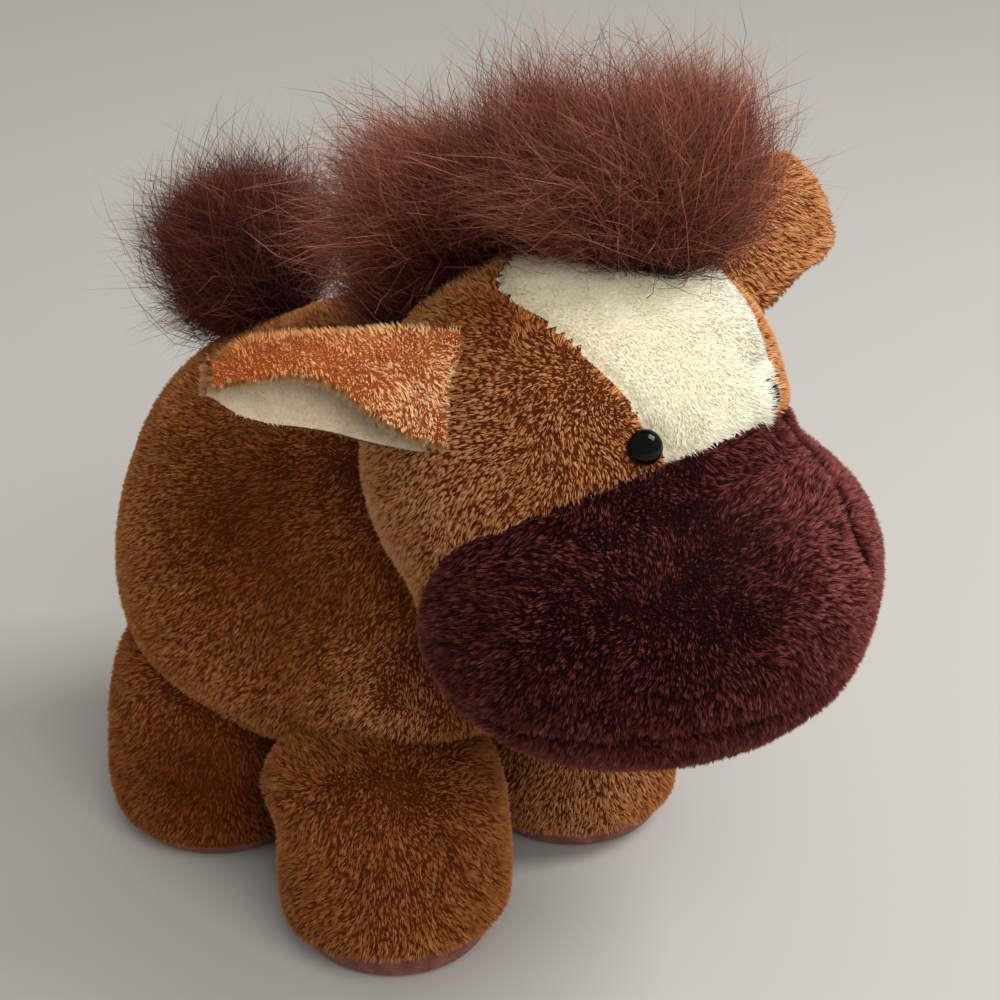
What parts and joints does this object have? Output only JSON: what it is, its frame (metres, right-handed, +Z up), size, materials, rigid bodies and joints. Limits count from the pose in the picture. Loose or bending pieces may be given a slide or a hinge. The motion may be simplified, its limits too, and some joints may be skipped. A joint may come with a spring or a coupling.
{
  "type": "plush horse",
  "caption": "Small stuffed plush horse that stands on stubby legs, with a broad dark muzzle, a cream blaze, folded ears and a fluffy mane and tail.",
  "frame": {"origin": "on the floor, in the plane of symmetry, under the middle of the toy's bounding box", "axes": "+Z up, the horse faces -Y, +X is the horse's left"},
  "size_m": [0.1392, 0.174, 0.1745],
  "materials": {
    "brown_plush": "short tufted pile",
    "dark_plush": "short tufted pile",
    "cream_plush": "short smooth pile",
    "sole_suede": "brushed suede cloth",
    "long_pile": "long silky pile",
    "polyester_fill": "loose fibre",
    "eye_gloss": "polished",
    "washer_plastic": "moulded"
  },
  "bodies": {
    "horse": {"body_left_cover": "brown_plush", "body_right_cover": "brown_plush", "body_stuffing": "polyester_fill", "head_left_cover": "brown_plush", "head_right_cover": "brown_plush", "blaze": "cream_plush", "muzzle_cover": "dark_plush", "chin_cover": "dark_plush", "head_stuffing": "polyester_fill", "eye_right": "eye_gloss", "eye_washer_right": "washer_plastic", "eye_left": "eye_gloss", "eye_washer_left": "washer_plastic", "front_left_leg_cover": "brown_plush", "front_left_leg_stuffing": "polyester_fill", "front_left_sole": "sole_suede", "front_right_leg_cover": "brown_plush", "front_right_leg_stuffing": "polyester_fill", "front_right_sole": "sole_suede", "rear_left_leg_cover": "brown_plush", "rear_left_leg_stuffing": "polyester_fill", "rear_left_sole": "sole_suede", "rear_right_leg_cover": "brown_plush", "rear_right_leg_stuffing": "polyester_fill", "rear_right_sole": "sole_suede", "mane": "long_pile"},
    "ear_left": {"ear_left_outer": "brown_plush", "ear_left_lining": "cream_plush"},
    "ear_right": {"ear_right_outer": "brown_plush", "ear_right_lining": "cream_plush"},
    "tail": {"tail": "long_pile"}
  },
  "joints": [
    {"name": "ear_left_flop", "type": "hinge", "parent": "horse", "child": "ear_left", "pos_m": [0.0315, -0.03082, 0.12606], "axis": [0.6077, -0.2182, -0.7636], "range_deg": [-20, 20], "stiffness_Nm_per_rad": 0.004},
    {"name": "ear_right_flop", "type": "hinge", "parent": "horse", "child": "ear_right", "pos_m": [-0.0315, -0.03082, 0.12606], "axis": [0.6077, 0.2182, 0.7636], "range_deg": [-20, 20], "stiffness_Nm_per_rad": 0.004},
    {"name": "tail_swing", "type": "hinge", "parent": "horse", "child": "tail", "pos_m": [0, 0.05885, 0.10196], "axis": [1, 0, 0], "range_deg": [-20, 20], "stiffness_Nm_per_rad": 0.01}
  ]
}
